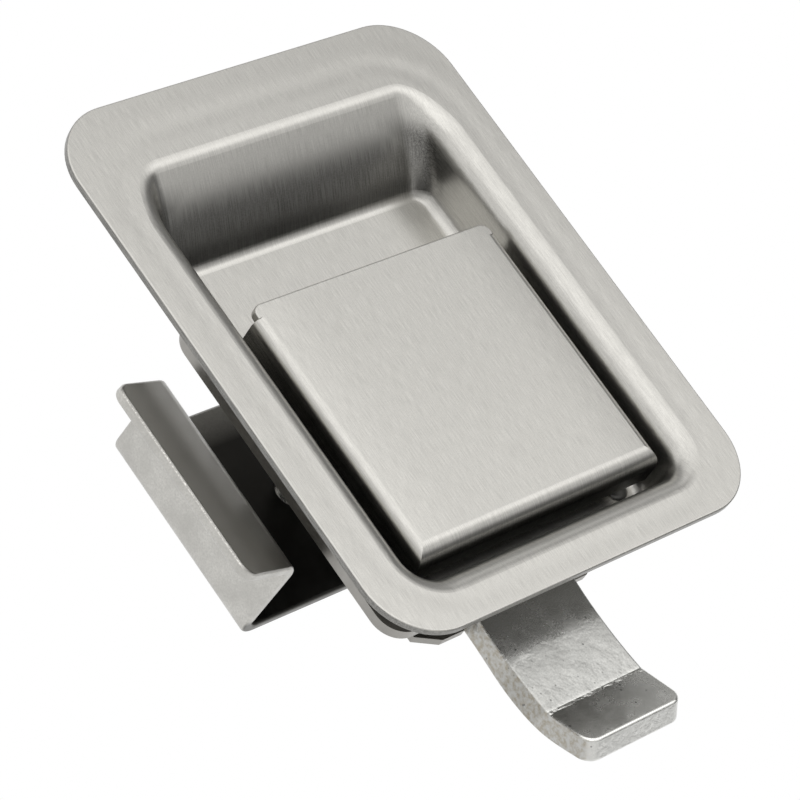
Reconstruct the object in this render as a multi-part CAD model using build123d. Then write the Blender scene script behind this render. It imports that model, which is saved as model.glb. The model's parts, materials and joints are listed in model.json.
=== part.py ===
from build123d import *
import math
import os

# Compression latch: a pressed pan set in a door panel, a paddle that lifts out of the pan, and a
# hooked finger behind the panel that the paddle swings clear of the door frame through two links.
# Frame: origin at the centre of the panel cut-out, on the face where the flange seats. +Z points
# out of the door, +Y runs up the pan to the finger pocket, X runs across the latch. Millimetres.

# ---- Pan ----
flange_width = 82.0
flange_length = 103.5
flange_corner = 12.0
sheet = 1.2
pocket_half_width = 30.0
border_low_end = 9.25
border_high_end = 13.25
pocket_corner = 5.0
pocket_depth = 12.4
wall_draft = 1.5
scoop_angle = 42.0
scoop_bulge = 55.0
scoop_corner = 4.0
rim_round = 4.0
floor_round = 2.5
sheet_edge_round = 0.3

# ---- Paddle ----
paddle_sheet = 1.5
paddle_half_width = 26.9
paddle_drop = 1.0
paddle_length = 50.0
paddle_end_gap = 3.0
paddle_side_bend = 1.9
paddle_end_bend = 3.2
skirt_rise_length = 3.5
skirt_depth = 8.5
end_wall_depth = 6.5
lip_length = 2.4
lip_inset = 0.8
lip_corner = 1.8

# ---- Mechanism axes (all along X); a reach is measured along Y from the pivot that the piece serves ----
paddle_pivot_reach = 5.5
paddle_pivot_drop = 6.5
pivot_stagger = 3.0
finger_pivot_drop = 18.5
crank_radius = 8.0
crank_rest_angle = -8.0

# ---- Pins and running fits ----
pivot_pin_radius = 2.0
link_pin_radius = 1.5
running_clearance = 0.05
side_clearance = 0.3
ring_thickness = 0.8
ring_wall = 0.7
groove_depth = 0.4
pin_overhang = 1.0
pin_chamfer = 0.4

# ---- Paddle lever ----
lever_sheet = 1.5
lever_outer = 15.5
lever_hub = 3.6
lever_eye = 3.0
lever_web_start = 5.0
lever_web_length = 6.0

# ---- Links ----
link_thickness = 2.0
link_half_width = 2.2

# ---- Finger ----
finger_half_width = 11.0
finger_thickness = 4.8
finger_hub = 3.8
tail_eye = 2.5
finger_neck_reach = 15.0
finger_crease_reach = 34.0
crease_rise = 0.4
finger_dip = 0.4
tab_length = 9.5
tab_angle = 26.0
tip_slant = 2.3
tip_drop = 3.5
heel_reach = 1.4
heel_rise = 1.0
belly_reach = 8.5
belly_drop = 0.4
finger_corner = 2.6
finger_edge_round = 0.5
spacer_radius = 3.4

# ---- Back plate, housing and rivets ----
plate_thickness = 2.0
plate_half_width = 30.8
plate_length = 63.0
plate_overhang = 2.5
plate_corner = 5.0
opening_low_reach = 1.8
opening_length = 16.3
opening_corner = 2.0
ear_radius = 3.6
ear_width = 6.5
ear_bend = 1.0
ear_relief = 1.2
stop_half_width = 6.0
stop_gap = 0.2
housing_sheet = 1.5
housing_half_width = 21.0
housing_front_reach = 15.0
housing_back_reach = 14.0
channel_front_reach = 11.0
housing_height = 6.9
housing_bend = 1.0
housing_chamfer_x = 4.5
housing_chamfer_y = 2.4
window_low_reach = 4.2
bridge_width = 3.2
finger_slot_side = 0.6
rivet_foot_reach = 6.3
rivet_foot_length = 6.6
rivet_foot_corner = 2.5
rivet_reach = 3.8
rivet_front_reach = 6.7
rivet_back_reach = 6.4
rivet_shank = 1.5
rivet_head = 1.9
rivet_head_height = 0.6
rivet_chamfer = 0.4

# ---- Clamp bracket and its studs ----
bracket_sheet = 2.0
bracket_length = 38.0
bracket_centre_y = -7.0
bracket_base_drop = 37.0
bracket_half_width = 36.5
web_height = 17.5
web_lean = 1.5
clamp_foot_length = 14.0
clamp_foot_angle = 21.0
bracket_bend = 1.5
bracket_corner = 2.6
bracket_edge_round = 0.6
stud_radius = 3.0
stud_x = 11.0
stud_end_drop = 48.5
stud_head_radius = 5.0
stud_head_height = 1.0
stud_hole_clearance = 0.3
washer_radius = 6.0
washer_thickness = 1.2
lock_washer_radius = 5.2
lock_washer_thickness = 1.5
nut_across_flats = 10.0
nut_height = 5.0
nut_chamfer = 0.8
stud_chamfer = 0.8
lock_washer_split = 1.2

# ---- Return spring ----
spring_wire = 1.0
spring_turns = 4
spring_half_length = 5.0
spring_long_leg = 10.0
spring_play = 0.3

# ---- Heights and places that follow from the sizes above ----
pocket_low_end = flange_length / 2 - border_low_end
pocket_high_end = flange_length / 2 - border_high_end
paddle_low_y = paddle_end_gap - pocket_low_end
paddle_top_y = paddle_low_y + paddle_length
paddle_pivot_y = paddle_low_y + paddle_pivot_reach
finger_pivot_y = paddle_pivot_y + pivot_stagger
finger_neck_y = finger_pivot_y - finger_neck_reach
finger_crease_y = finger_pivot_y - finger_crease_reach
plate_low_y = -pocket_low_end - plate_overhang
plate_top_y = plate_low_y + plate_length
opening_low_y = paddle_pivot_y - opening_low_reach
opening_high_y = opening_low_y + opening_length
housing_front_y = finger_pivot_y - housing_front_reach
housing_back_y = finger_pivot_y + housing_back_reach
channel_front_y = finger_pivot_y - channel_front_reach
window_low_y = finger_pivot_y - window_low_reach
rivet_front_y = finger_pivot_y - rivet_front_reach
rivet_back_y = finger_pivot_y + rivet_back_reach
face_z = sheet
floor_top = face_z - pocket_depth
floor_bottom = floor_top - sheet
plate_bottom = floor_bottom - plate_thickness
housing_bottom = plate_bottom - housing_height
paddle_face = face_z - paddle_drop
paddle_under = paddle_face - paddle_sheet
paddle_pivot = (paddle_pivot_y, face_z - paddle_pivot_drop)
finger_pivot = (finger_pivot_y, face_z - finger_pivot_drop)
foot_bottom = plate_bottom - housing_sheet
rivet_x = housing_half_width + rivet_reach
bracket_top = face_z - bracket_base_drop
bracket_bottom = bracket_top - bracket_sheet
nut_top = bracket_bottom - washer_thickness - lock_washer_thickness
stud_bottom = face_z - stud_end_drop
link_inner = finger_half_width + side_clearance
link_outer = link_inner + link_thickness
finger_bottom = finger_pivot[1] - finger_hub
finger_top = finger_bottom + finger_thickness
pan_opening_half = housing_half_width + ear_bend + side_clearance


def crank_end(pivot):
    """Far end of the crank that hangs on a pivot, with the latch closed."""
    angle = math.radians(crank_rest_angle)
    return (pivot[0] + crank_radius * math.cos(angle), pivot[1] + crank_radius * math.sin(angle))


top_link_pivot = crank_end(paddle_pivot)
tail_link_pivot = crank_end(finger_pivot)


def across(sketch, low_x, high_x):
    """Solid of a side outline, drawn in Y and Z, between two places along X."""
    return extrude(Plane.YZ.offset(low_x) * sketch, amount=high_x - low_x)


def both_sides(shape):
    """The shape and its mirror image in the middle plane of the latch."""
    return shape + mirror(shape, about=Plane.YZ)


def pair(shape):
    """The shape and its mirror image, kept as two separate solids."""
    return Compound(children=[shape, mirror(shape, about=Plane.YZ)])


def pin(at, radius, half_length):
    """Round bar along X through a point given in Y and Z."""
    return across(Pos(*at) * Circle(radius), -half_length, half_length)


def hole(at, radius, half_length=60.0):
    return pin(at, radius + running_clearance, half_length)


def box_between(low, high):
    size = [h - l for l, h in zip(low, high)]
    centre = [(l + h) / 2 for l, h in zip(low, high)]
    return Pos(*centre) * Box(*size)


def upright(x, y, low_z, high_z, radius):
    """Round bar along Z."""
    return Pos(x, y, (low_z + high_z) / 2) * Cylinder(radius, high_z - low_z)


# ---- Pan ----

def scoop_cut(offset):
    """Cylinder whose flank is the pocket's far wall, so that fingers can slide under the paddle."""
    slope = math.radians(scoop_angle)
    half_chord = pocket_depth / math.sin(slope) / 2
    rise = math.sqrt(scoop_bulge ** 2 - half_chord ** 2)
    y = pocket_high_end - half_chord * math.cos(slope) + rise * math.sin(slope)
    z = face_z - pocket_depth / 2 - rise * math.cos(slope)
    return pin((y, z), scoop_bulge - offset, flange_width / 2)


def steep_edges(block, depth):
    """Edges that run down the pocket's walls."""
    return ShapeList(e for e in block.edges() if e.bounding_box().size.Z > depth / 2)


def pocket_block(offset):
    """The pocket as a solid: its hollow with no offset, its outside with the sheet's."""
    depth = pocket_depth + offset
    far_y = pocket_high_end + depth
    length = far_y + pocket_low_end + offset
    plan = Pos(0, far_y - length / 2, face_z) * Rectangle(2 * (pocket_half_width + offset), length)
    block = extrude(plan, amount=-depth, taper=wall_draft)
    block = fillet(steep_edges(block, depth).group_by(Axis.Y)[0], pocket_corner + offset)
    block -= scoop_cut(offset)
    block = fillet(steep_edges(block, depth).sort_by(Axis.Y)[-2:], scoop_corner + offset)
    return fillet(block.edges().group_by(Axis.Z)[0], floor_round + offset)


def opening(half_width, low_z, high_z):
    """Cut for the opening that the ears, the lever and the finger's tail work in."""
    length = opening_high_y - opening_low_y
    middle = (opening_high_y + opening_low_y) / 2
    plan = Pos(0, middle, low_z) * RectangleRounded(2 * half_width, length, opening_corner)
    return extrude(plan, amount=high_z - low_z)


def rivet_places():
    return [(x, y) for x in (-rivet_x, rivet_x) for y in (rivet_front_y, rivet_back_y)]


def stud_places():
    return [(-stud_x, bracket_centre_y), (stud_x, bracket_centre_y)]


def drill(shape, places, radius):
    """Cut round holes along Z, right through the shape."""
    for x, y in places:
        shape -= upright(x, y, stud_bottom - 10, face_z + 10, radius)
    return shape


def pocket_edges(shape, height):
    """Edges round the pocket at a height, without those round the flange's own rim."""
    level = shape.edges().filter_by_position(Axis.Z, height - 0.01, height + 0.01)
    inside = flange_width / 2 - 1
    return [e for e in level
            if abs(e.center().X) < inside and abs(e.center().Y) < flange_length / 2 - 1
            and max(abs(e.bounding_box().min.X), abs(e.bounding_box().max.X)) < inside]


def make_pan():
    flange = extrude(RectangleRounded(flange_width, flange_length, flange_corner), amount=sheet)
    flange = fillet(flange.edges().group_by(Axis.Z)[-1], sheet_edge_round)
    pan = flange + pocket_block(sheet)
    pan = fillet(pocket_edges(pan, 0.0), rim_round - sheet)
    pan -= pocket_block(0.0)
    pan = fillet(pocket_edges(pan, face_z), rim_round)
    pan -= opening(pan_opening_half, floor_bottom - 1, floor_top + 1)
    return drill(pan, rivet_places(), rivet_shank + running_clearance)


# ---- Back plate and housing ----

def plate_ear():
    """Ear lanced from the side of the opening and bent up to the paddle's pivot."""
    y, z = paddle_pivot
    face = housing_half_width
    line = FilletPolyline((face + ear_width, floor_bottom), (face, floor_bottom), (face, face_z),
                          radius=ear_bend)
    fold = make_face(offset(line, amount=plate_thickness, side=Side.LEFT, closed=True))
    ear = extrude(Plane.XZ.offset(-y - ear_width) * fold, amount=2 * ear_width)
    neck = Polyline((y, plate_bottom), (y + ear_width, plate_bottom), (y + ear_width, floor_top),
                    (y + ear_radius, z), (y, z), close=True)
    outline = make_face(neck) + Pos(y, z) * Circle(ear_radius)
    return ear & across(outline, 0, plate_half_width)


def make_back_plate():
    width = 2 * plate_half_width
    length = plate_top_y - plate_low_y
    middle = (plate_top_y + plate_low_y) / 2
    plan = Pos(0, middle, plate_bottom) * RectangleRounded(width, length, plate_corner)
    plate = extrude(plan, amount=plate_thickness)
    plate -= opening(housing_half_width, plate_bottom - 1, floor_bottom + 1)
    relief = box_between((0, paddle_pivot_y - ear_relief, plate_bottom - 1),
                         (housing_half_width + ear_width / 2, paddle_pivot_y + ear_width + ear_relief,
                          floor_bottom + 1))
    plate -= both_sides(relief)
    plate += both_sides(plate_ear())
    plate += box_between((-stop_half_width, plate_low_y, finger_top + stop_gap),
                         (stop_half_width, plate_low_y + plate_thickness, plate_bottom))
    plate -= hole(paddle_pivot, pivot_pin_radius)
    plate = drill(plate, rivet_places(), rivet_shank + running_clearance)
    plate = drill(plate, stud_places(), stud_radius + running_clearance)
    for x, y in stud_places():
        plate -= upright(x, y, floor_bottom - stud_head_height, floor_bottom + 1,
                         stud_head_radius + running_clearance)
    return plate


def channel():
    """Half of the folded housing: its floor and one wall."""
    low = housing_bottom + housing_sheet
    inner = housing_half_width - housing_sheet
    line = FilletPolyline((0, low), (inner, low), (inner, plate_bottom), radius=housing_bend)
    section = make_face(offset(line, amount=housing_sheet, side=Side.RIGHT, closed=True))
    return extrude(Plane.XZ.offset(-housing_back_y) * section, amount=housing_back_y - channel_front_y)


def housing_foot(middle_y):
    """Foot bent out from the top of the wall, which is riveted under the back plate."""
    low_y = middle_y - rivet_foot_length / 2
    foot = box_between((housing_half_width - housing_sheet, low_y, foot_bottom),
                       (housing_half_width + rivet_foot_reach, low_y + rivet_foot_length, plate_bottom))
    return fillet(foot.edges().filter_by(Axis.Z).group_by(Axis.X)[-1], rivet_foot_corner)


def housing_lip():
    """Floor strip in front of the walls, with its chamfered corner."""
    half = housing_half_width
    points = [(0, channel_front_y), (half, channel_front_y), (half, housing_front_y + housing_chamfer_y),
              (half - housing_chamfer_x, housing_front_y), (0, housing_front_y)]
    plan = make_face(Polyline(*points, close=True))
    return extrude(Plane.XY.offset(housing_bottom) * plan, amount=housing_sheet)


def make_housing():
    """Channel under the opening that carries the finger's pin, with its floor open for the finger."""
    side = channel() + housing_foot(rivet_front_y) + housing_foot(rivet_back_y)
    bends = [e for e in side.edges().filter_by(Axis.Y)
             if abs(e.center().X - housing_half_width) < 0.01 and abs(e.center().Z - foot_bottom) < 0.01]
    side = fillet(bends, housing_bend)
    housing = both_sides(side + housing_lip())
    low = housing_bottom - 1
    slot_half = finger_half_width + finger_slot_side
    housing -= box_between((-slot_half, housing_front_y - 1, low), (slot_half, window_low_y, plate_bottom))
    window_half = housing_half_width - housing_sheet
    housing -= box_between((-window_half, window_low_y, low),
                           (window_half, housing_back_y - bridge_width, plate_bottom))
    housing -= hole(finger_pivot, pivot_pin_radius)
    return drill(housing, rivet_places(), rivet_shank + running_clearance)


def rivet(x, y):
    low_head = upright(x, y, foot_bottom - rivet_head_height, foot_bottom, rivet_head)
    high_head = upright(x, y, floor_top, floor_top + rivet_head_height, rivet_head)
    high_head = chamfer(high_head.edges().group_by(Axis.Z)[-1], rivet_chamfer)
    low_head = chamfer(low_head.edges().group_by(Axis.Z)[0], rivet_chamfer)
    return low_head + upright(x, y, foot_bottom, floor_top, rivet_shank) + high_head


def make_rivets():
    return Compound(children=[rivet(x, y) for x, y in rivet_places()])


# ---- Paddle, lever and pins ----

def paddle_block(inset):
    """Outside of the paddle, or its hollow when given the sheet as inset."""
    half = paddle_half_width - inset
    upper = box_between((-half, paddle_low_y + inset, floor_bottom),
                        (half, pocket_high_end, paddle_face - inset))
    rim = upper.faces().sort_by(Axis.Z)[-1].edges()
    sides = fillet(rim.filter_by(Axis.Y), paddle_side_bend - inset)
    end = fillet(rim.filter_by(Axis.X).sort_by(Axis.Y)[0], paddle_end_bend - inset)
    return sides & end


def paddle_side():
    """Side outline that trims the skirts and the end wall, up to the start of the free lip."""
    skirt_low = paddle_face - skirt_depth
    wall_low = paddle_face - end_wall_depth
    notch_y = paddle_top_y - lip_length
    points = [(notch_y, paddle_face), (notch_y, skirt_low), (paddle_pivot_y, skirt_low),
              (paddle_pivot_y - skirt_rise_length, wall_low), (paddle_low_y, wall_low),
              (paddle_low_y, paddle_face)]
    return make_face(Polyline(*points, close=True))


def make_paddle():
    """Pressed cover with skirts down three sides and a free flat lip over the finger pocket."""
    shell = paddle_block(0.0) - paddle_block(paddle_sheet)
    shell &= across(paddle_side(), -paddle_half_width, paddle_half_width)
    lip_half = paddle_half_width - lip_inset
    lip = box_between((-lip_half, paddle_top_y - 2 * lip_length, paddle_under),
                      (lip_half, paddle_top_y, paddle_face))
    lip = fillet(lip.edges().filter_by(Axis.Z).group_by(Axis.Y)[-1], lip_corner)
    notch_y = paddle_top_y - lip_length
    lip -= box_between((-paddle_half_width, paddle_low_y, paddle_under - 1),
                       (paddle_half_width, notch_y, paddle_face + 1))
    free_edges = [e for e in lip.edges().group_by(Axis.Z)[-1] if e.center().Y > notch_y + 0.01]
    lip = fillet(free_edges, sheet_edge_round)
    return shell + lip


def make_paddle_lever():
    """Two cranked arms joined by a web that is welded under the paddle's face."""
    outline = make_hull([*(Pos(*paddle_pivot) * Circle(lever_hub)).edges(),
                         *(Pos(*top_link_pivot) * Circle(lever_eye)).edges()])
    web_low_y = paddle_pivot_y + lever_web_start
    web_high_y = web_low_y + lever_web_length
    height = paddle_under - top_link_pivot[1]
    outline += Pos((web_low_y + web_high_y) / 2, paddle_under - height / 2) * Rectangle(
        lever_web_length, height)
    lever = both_sides(across(outline, lever_outer - lever_sheet, lever_outer))
    lever += box_between((-lever_outer, web_low_y, paddle_under - lever_sheet),
                         (lever_outer, web_high_y, paddle_under))
    lever -= hole(paddle_pivot, pivot_pin_radius)
    return lever - hole(top_link_pivot, link_pin_radius)


def grooved_pin(at, radius, ring_x):
    """Pin that stands past the pieces it holds, with a groove for a ring at each end."""
    bar = pin(at, radius, ring_x + ring_thickness + pin_overhang)
    outline = Pos(*at) * (Circle(radius + 1) - Circle(radius - groove_depth))
    bar -= both_sides(across(outline, ring_x, ring_x + ring_thickness))
    ends = bar.edges().filter_by(GeomType.CIRCLE).group_by(Axis.X)
    return chamfer(ends[0] + ends[-1], pin_chamfer)


def retaining_rings(at, radius, ring_x):
    """Two open rings that snap into the grooves of a pin."""
    inner = radius - groove_depth + running_clearance
    outline = Circle(radius + ring_wall) - Circle(inner)
    outline -= Pos(0, -radius - ring_wall / 2) * Rectangle(1.6 * inner, radius + 2 * ring_wall)
    ring = across(Pos(*at) * outline, ring_x + running_clearance,
                  ring_x + ring_thickness - running_clearance)
    return pair(ring)


def make_link(low_x):
    """Flat link from the lever's crank to the finger's tail."""
    ends = [*(Pos(*top_link_pivot) * Circle(link_half_width)).edges(),
            *(Pos(*tail_link_pivot) * Circle(link_half_width)).edges()]
    link = across(make_hull(ends), low_x, low_x + link_thickness)
    link -= hole(top_link_pivot, link_pin_radius)
    return link - hole(tail_link_pivot, link_pin_radius)


# ---- Finger ----

def finger_arm():
    """Side outline of the arm: flat back, shallow dip, hooked tab, and one long curve below."""
    tilt = math.radians(tab_angle)
    crease = (finger_crease_y, finger_top + crease_rise)
    tip = (crease[0] - tab_length * math.cos(tilt), crease[1] + tab_length * math.sin(tilt))
    under_tip = (tip[0] - tip_slant, tip[1] - tip_drop)
    heel = (crease[0] - heel_reach, finger_bottom + heel_rise)
    belly = (crease[0] + belly_reach, finger_bottom - belly_drop)
    neck_low = (finger_neck_y, finger_bottom)
    neck_high = (finger_neck_y, finger_top)
    lowest = ((neck_high[0] + crease[0]) / 2, finger_top - finger_dip)
    back = Polyline(neck_low, (finger_pivot[0], finger_bottom), (finger_pivot[0], finger_top), neck_high)
    dip = ThreePointArc(neck_high, lowest, crease)
    tab = Polyline(crease, tip, under_tip)
    under = Spline(under_tip, heel, belly, neck_low, tangents=[(math.cos(tilt), -math.sin(tilt)), (1, 0)])
    return make_face([*back.edges(), *dip.edges(), *tab.edges(), *under.edges()])


def make_finger():
    """Forged finger: hub on its pin, hooked arm, and a tail that the links pull up."""
    arm = across(finger_arm(), -finger_half_width, finger_half_width)
    tip_face = arm.faces().sort_by(Axis.Y)[0]
    corners = [e for e in tip_face.edges() if abs(abs(e.center().X) - finger_half_width) < 0.01]
    arm = fillet(corners, finger_corner)
    rims = [e for e in arm.edges() if e.center().Y < finger_pivot_y - finger_hub
            and (abs(e.center().X) > 1 or e.center().Y < finger_crease_y - 1)]
    arm = fillet(rims, finger_edge_round)
    hub = Pos(*finger_pivot) * Circle(finger_hub)
    hub += make_hull([*(Pos(*finger_pivot) * Circle(tail_eye)).edges(),
                      *(Pos(*tail_link_pivot) * Circle(tail_eye)).edges()])
    finger = arm + across(hub, -finger_half_width, finger_half_width)
    finger -= hole(finger_pivot, pivot_pin_radius)
    return finger - hole(tail_link_pivot, link_pin_radius)


def make_spacers():
    """Sleeves that keep the finger in the middle of the housing."""
    sleeve = Circle(spacer_radius) - Circle(pivot_pin_radius + running_clearance)
    wall = housing_half_width - housing_sheet
    return pair(across(Pos(*finger_pivot) * sleeve, link_outer + side_clearance, wall - side_clearance))


# ---- Return spring ----

def make_spring():
    """Torsion spring round the paddle's pin: one leg over the lever's pin, one on the opening's edge."""
    radius = pivot_pin_radius + spring_play + spring_wire / 2
    gap = spring_wire / 2 + running_clearance
    reach = [p - q for p, q in zip((opening_low_y, floor_top), paddle_pivot)]
    bearing = math.atan2(reach[1], reach[0]) + 2 * math.pi
    start = math.radians(crank_rest_angle) + math.acos((radius - gap - link_pin_radius) / crank_radius)
    end = bearing - math.acos((radius + gap) / math.hypot(*reach))
    short_leg = math.sqrt(math.hypot(*reach) ** 2 - (radius + gap) ** 2) + sheet
    turned = spring_turns + (end - start) / (2 * math.pi)
    length = 2 * spring_half_length
    place = Plane(origin=(-spring_half_length, *paddle_pivot),
                  x_dir=(0, math.cos(start), math.sin(start)), z_dir=(1, 0, 0))
    coil = place * Helix(pitch=length / turned, height=length, radius=radius)
    first = Line(coil @ 0 - (coil % 0) * spring_long_leg, coil @ 0)
    last = Line(coil @ 1, coil @ 1 + (coil % 1) * short_leg)
    path = Wire([*first.edges(), *coil.edges(), *last.edges()])
    section = Plane(origin=path @ 0, z_dir=path % 0) * Circle(spring_wire / 2)
    return sweep(section, path=path)


# ---- Clamp bracket, studs and nuts ----

def bracket_outline():
    """Half section of the bracket: base, web leaning inwards, foot bent back outwards and up."""
    inner = bracket_half_width - bracket_sheet
    angle = math.radians(clamp_foot_angle)
    shoulder = (inner - web_lean, bracket_top + web_height)
    tip = (shoulder[0] + clamp_foot_length * math.cos(angle),
           shoulder[1] + clamp_foot_length * math.sin(angle))
    line = FilletPolyline((0, bracket_top), (inner, bracket_top), shoulder, tip,
                          radius=[bracket_bend, bracket_bend + bracket_sheet])
    return make_face(offset(line, amount=bracket_sheet, side=Side.RIGHT, closed=True))


def make_bracket():
    low_y = bracket_centre_y - bracket_length / 2
    high_y = bracket_centre_y + bracket_length / 2
    half = extrude(Plane.XZ.offset(-high_y) * bracket_outline(), amount=bracket_length)
    bracket = both_sides(half)
    reach = bracket.bounding_box().max.X
    tips = [e for e in bracket.edges().filter_by(GeomType.LINE)
            if abs(e.center().X) > reach - bracket_sheet and e.length < bracket_sheet + 0.1]
    bracket = fillet(tips, bracket_corner)
    ends = [e for e in bracket.edges() if e.bounding_box().size.Y < bracket_length / 2]
    bracket = fillet(ends, bracket_edge_round)
    return drill(bracket, stud_places(), stud_radius + stud_hole_clearance)


def make_studs():
    studs = []
    for x, y in stud_places():
        shank = upright(x, y, stud_bottom, floor_bottom, stud_radius)
        shank = chamfer(shank.edges().group_by(Axis.Z)[0], stud_chamfer)
        studs.append(shank + upright(x, y, floor_bottom - stud_head_height, floor_bottom,
                                     stud_head_radius))
    return Compound(children=studs)


def washer(x, y, top, thickness, radius):
    ring = upright(x, y, top - thickness, top, radius)
    return ring - upright(x, y, top - thickness - 1, top + 1, stud_radius + running_clearance)


def make_flat_washers():
    return Compound(children=[washer(x, y, bracket_bottom, washer_thickness, washer_radius)
                              for x, y in stud_places()])


def make_lock_washers():
    rings = []
    for x, y in stud_places():
        top = bracket_bottom - washer_thickness
        ring = washer(x, y, top, lock_washer_thickness, lock_washer_radius)
        split = Pos(x + lock_washer_radius, y, top) * Rot(30, 0, 0) * Box(
            2 * lock_washer_radius, lock_washer_split, 3 * lock_washer_thickness)
        rings.append(ring - split)
    return Compound(children=rings)


def make_nuts():
    nuts = []
    for x, y in stud_places():
        plan = RegularPolygon(nut_across_flats / 2, 6, major_radius=False)
        nut = extrude(Pos(x, y, nut_top - nut_height) * plan, amount=nut_height)
        dome = Pos(x, y, nut_top - nut_height / 2) * Cylinder(nut_across_flats / 2 * 1.12, nut_height)
        dome = chamfer(dome.edges().filter_by(GeomType.CIRCLE), nut_chamfer)
        nut = nut & dome
        nuts.append(nut - upright(x, y, nut_top - nut_height - 1, nut_top + 1,
                                  stud_radius + running_clearance))
    return Compound(children=nuts)


def make_nodes():
    """Every piece of the latch by the name of its node."""
    wall = housing_half_width
    return {
        "pan": make_pan(),
        "back_plate": make_back_plate(),
        "housing": make_housing(),
        "rivets": make_rivets(),
        "paddle": make_paddle(),
        "paddle_lever": make_paddle_lever(),
        "paddle_pin": grooved_pin(paddle_pivot, pivot_pin_radius, wall),
        "paddle_pin_rings": retaining_rings(paddle_pivot, pivot_pin_radius, wall),
        "return_spring": make_spring(),
        "link_left": make_link(-link_outer),
        "link_right": make_link(link_inner),
        "top_link_pin": grooved_pin(top_link_pivot, link_pin_radius, lever_outer),
        "top_link_pin_rings": retaining_rings(top_link_pivot, link_pin_radius, lever_outer),
        "finger": make_finger(),
        "finger_pin": grooved_pin(finger_pivot, pivot_pin_radius, wall),
        "finger_pin_rings": retaining_rings(finger_pivot, pivot_pin_radius, wall),
        "finger_spacers": make_spacers(),
        "tail_pin": grooved_pin(tail_link_pivot, link_pin_radius, link_outer),
        "tail_pin_rings": retaining_rings(tail_link_pivot, link_pin_radius, link_outer),
        "clamp_bracket": make_bracket(),
        "studs": make_studs(),
        "flat_washers": make_flat_washers(),
        "lock_washers": make_lock_washers(),
        "nuts": make_nuts(),
    }


if __name__ == "__main__":
    os.makedirs("parts", exist_ok=True)
    for name, shape in make_nodes().items():
        export_step(shape, f"parts/{name}.step")
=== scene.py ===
import json
import math

import bpy
from mathutils import Matrix, Vector

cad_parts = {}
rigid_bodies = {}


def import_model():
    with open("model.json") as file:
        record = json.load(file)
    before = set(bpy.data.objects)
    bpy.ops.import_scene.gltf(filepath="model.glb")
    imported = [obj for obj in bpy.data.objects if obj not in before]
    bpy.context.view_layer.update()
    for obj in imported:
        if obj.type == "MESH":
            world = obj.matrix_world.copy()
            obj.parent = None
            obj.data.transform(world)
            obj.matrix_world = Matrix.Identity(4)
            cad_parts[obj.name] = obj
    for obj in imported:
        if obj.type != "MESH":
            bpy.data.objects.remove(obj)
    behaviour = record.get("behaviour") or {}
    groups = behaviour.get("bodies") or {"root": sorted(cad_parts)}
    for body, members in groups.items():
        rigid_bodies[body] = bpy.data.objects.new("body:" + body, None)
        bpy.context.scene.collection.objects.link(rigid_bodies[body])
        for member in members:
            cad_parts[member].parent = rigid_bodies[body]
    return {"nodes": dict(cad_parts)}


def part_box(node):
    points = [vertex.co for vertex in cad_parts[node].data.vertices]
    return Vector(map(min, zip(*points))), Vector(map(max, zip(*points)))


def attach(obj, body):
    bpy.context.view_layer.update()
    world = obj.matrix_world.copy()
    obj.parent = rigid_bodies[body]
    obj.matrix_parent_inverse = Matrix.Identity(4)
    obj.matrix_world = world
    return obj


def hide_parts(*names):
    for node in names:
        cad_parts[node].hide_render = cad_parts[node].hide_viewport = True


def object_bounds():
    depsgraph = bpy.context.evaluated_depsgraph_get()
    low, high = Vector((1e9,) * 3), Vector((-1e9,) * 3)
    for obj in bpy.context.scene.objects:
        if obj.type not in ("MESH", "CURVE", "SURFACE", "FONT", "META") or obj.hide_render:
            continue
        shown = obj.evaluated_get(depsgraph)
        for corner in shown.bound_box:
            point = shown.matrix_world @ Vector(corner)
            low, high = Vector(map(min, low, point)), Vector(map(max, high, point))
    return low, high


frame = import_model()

# Looks of a paddle-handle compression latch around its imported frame, laid out as an add-on.
# Metres throughout, in the frame's own axes: +Z out of the door, +Y up the pan, X across it.

bl_info = {
    "name": "Compression Latch Looks",
    "version": (1, 0, 0),
    "blender": (4, 5, 0),
    "location": "View3D > Sidebar > Latch",
    "description": "Steel finishes, threaded fasteners and a studio for a compression latch",
    "category": "Object",
}

NODES = frame["nodes"]
CAD_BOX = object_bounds()
MM = 0.001

# Places on the pan, seen along Z: the pocket's mouth, and the corners of the pocket and the flange.
POCKET_LOW = (-30.0 * MM, -42.5 * MM)
POCKET_HIGH = (30.0 * MM, 38.5 * MM)
POCKET_CORNER = 8.0 * MM
FLANGE_CORNER = 12.0 * MM

# Crease between the finger's hollow and its raised tab, along Y.
TAB_CREASE = -65.3 * MM

# Fasteners.
STUD_RADIUS = 3.0 * MM
STUD_HEAD_RADIUS = 5.0 * MM
STUD_HEAD_HEIGHT = 1.0 * MM
RIVET_SHANK_RADIUS = 1.5 * MM
RIVET_HEAD_RADIUS = 1.9 * MM
RIVET_HEAD_HEIGHT = 0.6 * MM

# Oxide between the pits of the forging, warmer than the steel.
SCALE_COLOR = (0.56, 0.52, 0.44)


# ---- Sizes and colours that a user would change ----

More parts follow.
